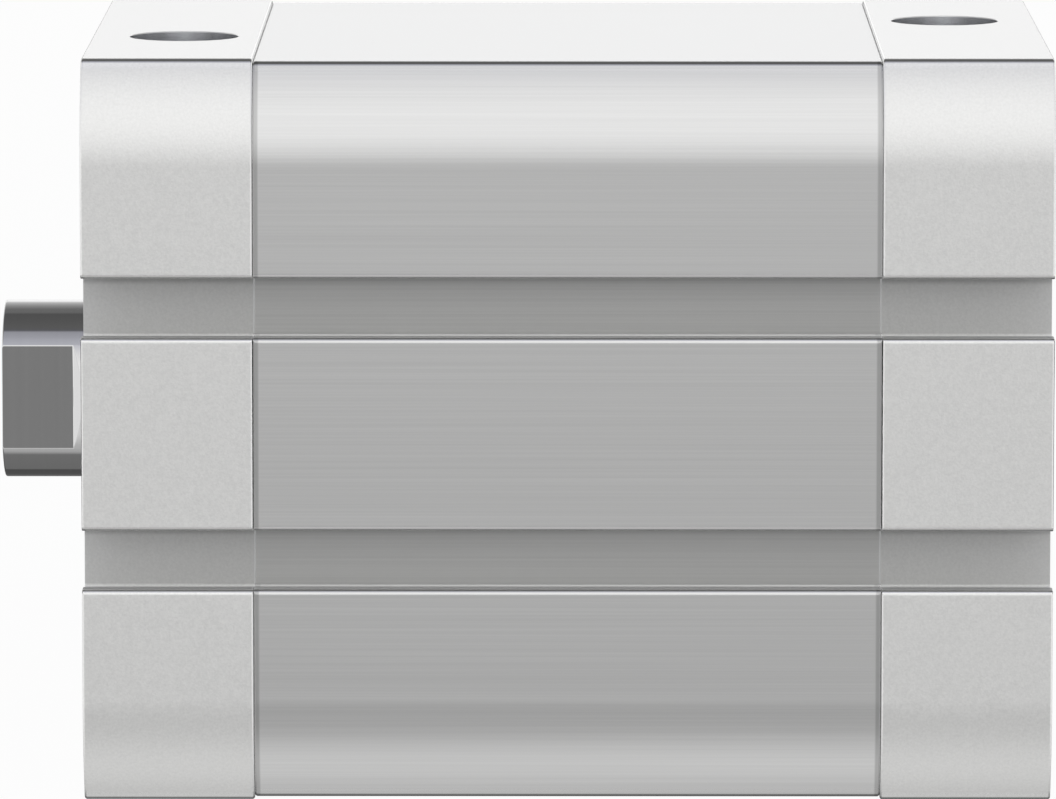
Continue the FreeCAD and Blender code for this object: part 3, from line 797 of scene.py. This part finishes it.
# %% Barrel and caps
HOUSING_ROUND = 0.07 * MM
barrel = rounded_copy("barrel", "barrel_profile", brushed_profile, HOUSING_ROUND)
front_cap = rounded_copy("bearing_cap", "bearing_cap_casting", front_casting, HOUSING_ROUND)
rear_cap = rounded_copy("end_cap", "end_cap_casting", rear_casting, HOUSING_ROUND)
for piece in (barrel, front_cap, rear_cap):
    print(piece.name, len(piece.data.polygons), "faces before rounding")

# %% [markdown]
# ## The rod and the hard parts of the piston
#
# These parts are turned on a lathe, and each keeps its place in the stack on the rod's tail,
# so they are copies too. Their edges are only deburred, which asks for a finer rounding.

# %% The rod and the hard parts of the piston
ROD_ROUND = 0.06 * MM
FINE_ROUND = 0.05 * MM
rounded_copy("piston_rod", "piston_rod_ground", ground_steel, ROD_ROUND)
for node, name, material in (("piston_front_half", "piston_front_half_turned", turned_alloy),
                             ("piston_rear_half", "piston_rear_half_turned", turned_alloy),
                             ("piston_magnet", "piston_ring_magnet", magnet_plastic),
                             ("piston_guide_ring", "piston_guide_band", band_plastic),
                             ("piston_washer", "piston_washer_plated", plated_nut),
                             ("piston_nut", "piston_nut_plated", plated_nut),
                             ("rod_bearing_bush", "rod_bush_sintered", sintered_bronze)):
    rounded_copy(node, name, material, FINE_ROUND)

# %% [markdown]
# ## Threads
#
# A thread is a ridge that climbs one pitch for each turn. In the screws it is part of the
# turned surface, whose radius follows the ridge. In the ports and in the rod's end it is a
# thin spiral of its own, with its foot sunk into the wall and both ends running to a point.

# %% The ridge of a thread
RIDGE_STRETCH, RIDGE_CUT = 1.35, 0.17     # make an even zigzag flat at the crest and at the root
FOOT_REACH, CREST_REACH = 0.45, 0.07      # half widths of a ridge, in pitches
FOOT_SINK = 0.03                          # how far the foot lies behind the wall
FADE_TURNS = 0.5


def ridge(phase):
    """Height of a 60 degree thread, from 0 at the root to 1 at the crest, both a little flat."""
    zigzag = 1 - np.abs(2 * (phase % 1) - 1)
    return np.clip(RIDGE_STRETCH * zigzag - RIDGE_CUT, 0, 1)


def spiral_ridge(start, end, radius, height, pitch, columns=72):
    """A ridge inside a hole along the first axis, as a closed solid.

    Along the spiral, the turn t runs from 0 to the number of turns. Its section has four
    corners, two at the foot behind the wall and two at the crest. All four draw together to
    one point at both ends, over FADE_TURNS.
    """
    turns = (end - start) / pitch - 1
    t = np.linspace(0, turns, int(turns * columns))[:, None]
    fade = np.clip(np.minimum(t, turns - t) / FADE_TURNS, 0, 1)
    foot, crest = FOOT_REACH * pitch, CREST_REACH * pitch
    aside = np.array([-foot, -crest, crest, foot])[None, :] * fade
    rise = np.array([-FOOT_SINK, height, height, -FOOT_SINK])[None, :]
    rise = (rise + FOOT_SINK) * fade - FOOT_SINK
    axial = start + pitch / 2 + pitch * t + aside
    r = radius - rise
    angle = 2 * np.pi * t
    points = np.stack([axial, r * np.cos(angle), r * np.sin(angle)], axis=-1).reshape(-1, 3)
    return points, grid_faces(len(t), 4, False, True)


print("ridge at 0, 1/4 and 1/2 of a pitch:", ridge(np.array([0, 0.25, 0.5])))

# %% [markdown]
# ## Screws
#
# Four long screws hold each cap. Their round heads carry a mounting thread, a key reaches the
# hexagon below it, and the shank screws into the barrel. A head, a shank and two threads
# could be separate meshes cut out of each other, but booleans leave rough triangles. Instead
# each screw is one turned surface: from the bottom of the hexagon, out through the mounting
# thread, over the head and down the shank to its end. It is closed by a pole on the axis at
# each end.

# %% Half section of a screw
HEAD_FACE, HEAD_END, SHANK_END = 0.2, 11.2, 28.0       # depths below the cap's face
HEAD_R, SHANK_R = 6.0, 4.95
MOUNT_R, MOUNT_PITCH, MOUNT_END = 4.0, 1.25, 12.0
MOUNT_CUT, SHANK_CUT, SHANK_PITCH = 0.625, 0.85, 1.5   # heights of the threads' ridges
SOCKET_TOP, SOCKET_END, SOCKET_TIP, SOCKET_HALF = 13.5, 17.5, 19.3, 3.0
ENTRY, RIM, NECK = 0.4, 0.3, 0.15         # chamfers of the thread's mouth and both ends of the head
PLAIN_SHANK, POINT, POINT_DROP = 3.1, 0.7, 1.4         # below the head, and the chamfered point
GAP_BEFORE_THREAD, GAP_AT_ENTRY = 0.1, 0.05
STEPS_PER_TURN = 8


def plain_row(depth, radius, hexagon=0):
    """A row without a thread."""
    return (depth, radius, 0, 1, hexagon)


def screw_rows():
    """Half section of a screw as rows of depth, radius, thread cut, pitch, and 1 for a hexagon."""
    inner = np.arange(MOUNT_END, HEAD_FACE + ENTRY + GAP_AT_ENTRY, -MOUNT_PITCH / STEPS_PER_TURN)
    outer = np.arange(HEAD_END + PLAIN_SHANK + GAP_BEFORE_THREAD, SHANK_END - POINT - GAP_BEFORE_THREAD,
                      SHANK_PITCH / STEPS_PER_TURN)
    core = MOUNT_R - MOUNT_CUT
    rows = [plain_row(SOCKET_TIP, 0), plain_row(SOCKET_END, SOCKET_HALF, 1),
            plain_row(SOCKET_TOP, SOCKET_HALF, 1), plain_row(SOCKET_TOP, core), plain_row(MOUNT_END, core)]
    rows += [(d, MOUNT_R, MOUNT_CUT, MOUNT_PITCH, 0) for d in inner]
    rows += [plain_row(HEAD_FACE + ENTRY, MOUNT_R), plain_row(HEAD_FACE, MOUNT_R + ENTRY),
             plain_row(HEAD_FACE, HEAD_R - RIM), plain_row(HEAD_FACE + RIM / 3, HEAD_R - RIM / 3),
             plain_row(HEAD_FACE + RIM, HEAD_R), plain_row(HEAD_END - NECK, HEAD_R),
             plain_row(HEAD_END, HEAD_R - NECK), plain_row(HEAD_END, SHANK_R),
             plain_row(HEAD_END + PLAIN_SHANK, SHANK_R)]
    rows += [(d, SHANK_R, -SHANK_CUT, SHANK_PITCH, 0) for d in outer]
    rows += [plain_row(SHANK_END - POINT, SHANK_R - SHANK_CUT), plain_row(SHANK_END, SHANK_R - POINT_DROP),
             plain_row(SHANK_END, 0)]
    return np.array(rows, float)


print("rows in a screw's half section:", len(screw_rows()))

# %% Collar screws
SCREW_PLACE = 23.25                       # from the middle planes
SCREW_COLUMNS = 72


def screw_grid(x_face, inwards, y, z):
    """Radius by depth and angle: the plain radius, less the thread's ridge, or the hexagon's reach.

    A hole's thread stands inwards by cut * ridge, a shank's is cut away by cut * (1 - ridge).
    A hexagon's wall at the angle t lies at half its width over the cosine of t measured from
    the middle of the nearest side.
    """
    depth, radius, cut, pitch, six = (c[:, None] for c in screw_rows().T)
    x = x_face + inwards * depth
    t = 2 * np.pi * np.arange(SCREW_COLUMNS)[None, :] / SCREW_COLUMNS
    crest = ridge(x / pitch - t / (2 * np.pi))
    threaded = radius - np.where(cut > 0, cut * crest, -cut * (1 - crest))
    from_side = (t + np.pi / 6) % (np.pi / 3) - np.pi / 6
    r = np.where(six > 0, SOCKET_HALF / np.cos(from_side), threaded)
    points, faces = turned_grid(np.broadcast_to(x, r.shape), r, SCREW_COLUMNS, False)
    return points + np.array([0, y, z]), faces


def make_screws(name, node, x_face, inwards):
    """The four screws of a cap as one piece."""
    places = [(y, z) for y in (-SCREW_PLACE, SCREW_PLACE) for z in (-SCREW_PLACE, SCREW_PLACE)]
    grids = [screw_grid(x_face, inwards, y, z) for y, z in places]
    return stand_in(mesh_piece(name, grids, zinc_plate, smooth_below=35), node)


make_screws("front_collar_screws", "front_cap_screws", front_face, 1)
make_screws("rear_collar_screws", "rear_cap_screws", rear_face, -1)

# %% [markdown]
# ## Threads in the ports and in the rod's end
#
# The ports take pipe fittings and the rod's end takes a stud. Their holes belong to the copies
# of the caps and the rod, whose walls are smooth. Cutting a thread into them would mean
# changing those meshes, so the spiral ridge is laid on the wall, as a coil insert would be.

# %% Port and rod threads
PORT_R, PORT_PITCH, PORT_RIDGE, PORT_THREAD_FROM, PORT_THREAD_TO = 4.864, 0.907, 0.42, 1.4, 9.0
ROD_THREAD_R, ROD_PITCH, ROD_RIDGE, ROD_THREAD_DEPTH = 5.0, 1.5, 0.72, 16.0
ROD_THREAD_FROM = 0.3


def port_thread(name, node, place, material):
    """The spiral, turned upright by giving its axis to Z, on the port's axis."""
    top, bottom = cap_half - PORT_THREAD_FROM, cap_half - PORT_THREAD_TO
    points, faces = spiral_ridge(bottom, top, PORT_R, PORT_RIDGE, PORT_PITCH)
    upright = np.stack([points[:, 1] + place[0], points[:, 2] + place[1], points[:, 0]], axis=-1)
    ride_along(mesh_piece(name, [(upright, faces)], material, smooth_below=30), node)


port_thread("front_port_thread", "bearing_cap", front_port, front_casting)
port_thread("rear_port_thread", "end_cap", rear_port, rear_casting)
rod_tip = span("piston_rod")[0][0]
rod_spiral = spiral_ridge(rod_tip + ROD_THREAD_FROM, rod_tip + ROD_THREAD_DEPTH,
                          ROD_THREAD_R, ROD_RIDGE, ROD_PITCH)
ride_along(mesh_piece("rod_end_thread", [rod_spiral], cut_thread, smooth_below=30), "piston_rod")

# %% [markdown]
# ## Round rings
#
# Rings of round rubber cord close the gaps between the caps and the barrel, and between the
# piston and the rod. The frame draws them with a few flat sides, to keep the model light. A
# torus primitive would do as well, but the turned grid is at hand and lies right on the axis.

# %% Round rings
RING_COLUMNS = 144
CORD_COLUMNS = 24
CORD_R = 0.75


def round_ring(name, node):
    """A circle of radius CORD_R in the middle of the node's length, carried round the axis."""
    low, high = span(node)
    turn = np.linspace(0, 2 * np.pi, CORD_COLUMNS, endpoint=False)
    x = (low[0] + high[0]) / 2 + CORD_R * np.cos(turn)
    radius = ring_radius[node] + CORD_R * np.sin(turn)
    grid = turned_grid(x, radius, RING_COLUMNS, True)
    return stand_in(mesh_piece(name, [grid], ring_rubber, smooth_below=60), node)


JOINT_RING_R, TAIL_RING_R = 25.95, 5.85
ring_radius = {"front_barrel_oring": JOINT_RING_R, "rear_barrel_oring": JOINT_RING_R,
               "piston_rod_oring": TAIL_RING_R}
for node in ring_radius:
    round_ring(node + "_round", node)

# %% [markdown]
# ## Cushions and lip seals
#
# The cushions take up the piston's blow at both ends, and the lip seals press themselves
# against bore and rod with the air's own pressure. They could be copied from the frame like
# the metal parts, but a bevel only rounds hard edges. Turned from their own half sections,
# they get the soft corners that moulded rubber has everywhere.

# %% Moulded rings
def moulded_ring(name, node, corners, material, corner_round):
    """The closed half section of (x, radius) corners, softened and turned round the axis."""
    section = rounded_loop(corners, corner_round)
    grid = turned_grid(section[:, 0], section[:, 1], RING_COLUMNS, True)
    return stand_in(mesh_piece(name, [grid], material, smooth_below=50), node)


def lip_section(x_heel, x_lips, low, high, heel_low, heel_high):
    """A U-shaped seal with its lips at x_lips and a notch between them."""
    way = np.sign(x_lips - x_heel)
    notch_end = (x_lips - way * NOTCH, (low + high) / 2)
    return [(x_heel, heel_low), (x_lips, low), (x_lips, low + LIP), notch_end,
            (x_lips, high - LIP), (x_lips, high), (x_heel, heel_high)]


LIP, NOTCH = 0.8, 1.5                     # width of a lip's edge, and depth of the notch between two
CUSHION_IN, CUSHION_OUT, CUSHION_ROUND = 13.0, 17.0, 0.25
for node in ("front_cushion_ring", "rear_cushion_ring"):
    low, high = span(node)
    section = [(low[0], CUSHION_IN), (high[0], CUSHION_IN), (high[0], CUSHION_OUT), (low[0], CUSHION_OUT)]
    moulded_ring(node + "_moulded", node, section, cushion_rubber, CUSHION_ROUND)

# %% Lip seals
SEAL_ROUND = 0.2
RELIEF = 0.3                              # of a seal's heel on its sealing side
PISTON_SEAL_HEIGHT = 4.0
for node, lips_first in (("front_piston_seal", True), ("rear_piston_seal", False)):
    low, high = span(node)
    heel, lips = (high[0], low[0]) if lips_first else (low[0], high[0])
    inner, outer = high[2] - PISTON_SEAL_HEIGHT, high[2]
    section = lip_section(heel, lips, inner, outer, inner, outer - RELIEF)
    moulded_ring(node + "_lipped", node, section, lip_rubber, SEAL_ROUND)

ROD_R, ROD_GAP = 8.0, 0.05
low, high = span("rod_seal")
seal_section = lip_section(low[0], high[0], ROD_R + ROD_GAP, high[2], ROD_R + ROD_GAP + RELIEF, high[2])
moulded_ring("rod_seal_lipped", "rod_seal", seal_section, lip_rubber, SEAL_ROUND)

# %% [markdown]
# ## The wiper
#
# The wiper sits in the cap's mouth and strips dirt off the rod before it reaches the seal. It
# is the one inner part that shows. Its thin lip leans out towards the rod's end, so it gets a
# section of its own, with finer corners than the seals.

# %% The wiper
WIPER_BODY, WIPER_RECESS, WIPER_LIP, WIPER_THICK = 9.5, 0.4, 1.2, 0.3
WIPER_ROUND = 0.12
low, high = span("rod_wiper_ring")
lip, tip = ROD_R + ROD_GAP, ROD_R + ROD_GAP + WIPER_THICK
wiper_section = [(high[0], WIPER_BODY), (high[0], high[2]), (WIPER_RECESS, high[2]),
                 (WIPER_RECESS, WIPER_BODY), (low[0], tip), (low[0], lip),
                 (WIPER_LIP, tip), (high[0] - WIPER_LIP, WIPER_BODY)]
moulded_ring("rod_wiper_lipped", "rod_wiper_ring", wiper_section, wiper_rubber, WIPER_ROUND)

# %% [markdown]
# ## The camera
#
# The picture is taken with a very long lens from a little above. A long lens keeps the front
# face nearly square, and the small tilt shows the top as a narrow band. The place and the
# tilt come from matching the corners of the caps and the ports with the photograph.

# %% Camera
camera_data = bpy.data.cameras.new("camera")
camera_data.sensor_width = 36.0
camera_data.lens = 332.5
camera_data.clip_start = 0.05
camera_data.clip_end = 50.0
camera = link(bpy.data.objects.new("camera", camera_data))
CAMERA_TILT, CAMERA_TURN = 0.127071, 0.003977          # radians, downwards and to the left
camera.location = (0.04241, -0.87742, 0.11107)
camera.rotation_euler = (math.pi / 2 - CAMERA_TILT, 0, CAMERA_TURN)
bpy.context.scene.camera = camera
print("camera tilted %.2f degrees down" % math.degrees(CAMERA_TILT))

# %% [markdown]
# ## The floor
#
# The floor is one pale sheet. A lit sheet alone would turn grey far from the lamps, so for the
# camera most of it is a plain white glow. It reads as white paper and still keeps a trace of
# the object's shadow. From below the sheet is clear, so that the underside can be looked at
# as well, and reflections pass through it to the light behind.

# %% Floor
FLOOR_HALF = 3.0
FLOOR_GAP = 0.02 * MM            # keeps the underside clear of the sheet
FLOOR_GLOW = 0.96


def make_floor():
    """A square sheet under the object, white from above and clear from below."""
    height = floor_height - FLOOR_GAP
    corners = [(-FLOOR_HALF, -FLOOR_HALF, height), (FLOOR_HALF, -FLOOR_HALF, height),
               (FLOOR_HALF, FLOOR_HALF, height), (-FLOOR_HALF, FLOOR_HALF, height)]
    mesh = bpy.data.meshes.new("floor")
    mesh.from_pydata(corners, [], [(0, 1, 2, 3)])
    floor = link(bpy.data.objects.new("floor", mesh))
    material = bpy.data.materials.new("pale_floor")
    material.use_nodes = True
    tree = material.node_tree
    tree.nodes.clear()
    paper = add(tree, "ShaderNodeBsdfDiffuse", Color=(0.92, 0.92, 0.92, 1))
    glow = add(tree, "ShaderNodeEmission", Strength=1.0)
    path = tree.nodes.new("ShaderNodeLightPath")
    mix = tree.nodes.new("ShaderNodeMixShader")
    out = tree.nodes.new("ShaderNodeOutputMaterial")
    tree.links.new(product(tree, path.outputs["Is Camera Ray"], FLOOR_GLOW), mix.inputs[0])
    tree.links.new(paper.outputs[0], mix.inputs[1])
    tree.links.new(glow.outputs[0], mix.inputs[2])
    from_below = tree.nodes.new("ShaderNodeNewGeometry").outputs["Backfacing"]
    one_way = tree.nodes.new("ShaderNodeMixShader")
    tree.links.new(from_below, one_way.inputs[0])
    tree.links.new(mix.outputs[0], one_way.inputs[1])
    tree.links.new(tree.nodes.new("ShaderNodeBsdfTransparent").outputs[0], one_way.inputs[2])
    tree.links.new(one_way.outputs[0], out.inputs["Surface"])
    mesh.materials.append(material)
    floor.visible_glossy = False


make_floor()
print("floor at %.2f mm" % ((floor_height - FLOOR_GAP) / MM))

# %% [markdown]
# ## The light tunnel
#
# Metal has almost no colour of its own and shows what surrounds it, so the light is the main
# part of the picture. Lamps with sharp rims would leave sharp glints. A product photographer
# hangs a tunnel of white cloth round such an object instead, and this world is one: a tunnel
# that runs along X, with bright walls, a dark gap in the roof above and behind the object,
# and a greyer strip in front where the camera stands. Its ends are open and plain.

# %% The light tunnel
# Angle round the X axis in degrees from straight ahead of the object, upwards, and brightness
TUNNEL = ((-180, 0.30), (-172, 0.22), (-146, 0.09), (-127, 0.085), (-125, 0.17), (-89, 0.19), (-86, 0.46),
          (-66, 0.60), (-55, 0.76), (-45, 0.76), (-38, 0.64), (-31, 0.44), (-18, 0.34), (-11, 0.26),
          (-7, 0.235), (-4, 0.27), (-1, 0.95), (8, 1.04), (24, 1.04), (40, 0.97), (52, 0.86), (62, 0.69),
          (69, 0.55), (76, 0.44), (85.5, 0.37), (87.5, 0.13), (105, 0.11), (121, 0.10), (125, 0.16),
          (134, 0.17), (140.5, 0.25), (148, 0.36), (153, 0.45), (157, 0.53), (162, 0.68), (166, 0.96),
          (170, 1.04), (180, 1.03))


def tunnel_brightness(tree, turn):
    """Brightness by the angle round X, where 0 and 1 are both straight behind the object."""
    curve_node = tree.nodes.new("ShaderNodeFloatCurve")
    mapping = curve_node.mapping
    mapping.clip_max_y = 2.0
    curve = mapping.curves[0]
    curve.points[0].location = (0.0, TUNNEL[0][1])
    curve.points[1].location = (1.0, TUNNEL[-1][1])
    for degrees, brightness in TUNNEL[1:-1]:
        curve.points.new(degrees / 360 + 0.5, brightness)
    for point in curve.points:
        point.handle_type = "VECTOR"
    mapping.update()
    tree.links.new(turn, curve_node.inputs["Value"])
    return curve_node.outputs[0]


END_FROM, END_TO = 0.6, 0.9      # the tunnel's ends, by how far a direction points along X
END_LOW, END_HIGH = 0.75, 0.86   # brightness of the ends far below and well above the horizon
COOL_FROM, COOL_FULL, COOL_TO, COOL_END = 0.63, 0.70, 0.74, 0.76     # turns with a bluish light
COOL_LIGHT = (0.955, 0.965, 1.07, 1)


def make_world():
    """The tunnel's light on the object, and a plain white background for the camera."""
    world = bpy.data.worlds.new("light_tunnel")
    world.use_nodes = True
    bpy.context.scene.world = world
    tree = world.node_tree
    background = tree.nodes["Background"]
    x, y, z = here(tree)
    angle = calc(tree, "ARCTAN2", z, product(tree, y, -1.0))
    turn = ramp(tree, angle, -math.pi, math.pi)
    walls = tunnel_brightness(tree, turn)
    below, above = ramp(tree, z, -0.5, -0.1, END_LOW, 1.0), ramp(tree, z, 0.0, 0.15, 1.0, END_HIGH)
    openings = calc(tree, "MINIMUM", below, above)
    sideways = ramp(tree, calc(tree, "ABSOLUTE", x), END_FROM, END_TO, smooth=True)
    light = blend(tree, sideways, walls, openings)
    path = tree.nodes.new("ShaderNodeLightPath")
    tree.links.new(blend(tree, path.outputs["Is Camera Ray"], light, 1.0), background.inputs["Strength"])
    cool = ramp(tree, turn, COOL_FROM, COOL_FULL, smooth=True)
    past = ramp(tree, turn, COOL_TO, COOL_END)
    tint = product(tree, cool, opposite(tree, past), opposite(tree, path.outputs["Is Camera Ray"]))
    colour = blend(tree, tint, (1.0, 1.0, 1.0, 1), COOL_LIGHT, "RGBA")
    tree.links.new(colour, background.inputs["Color"])


make_world()
bpy.context.scene.view_settings.view_transform = "Standard"
print("light tunnel with", len(TUNNEL), "stops")
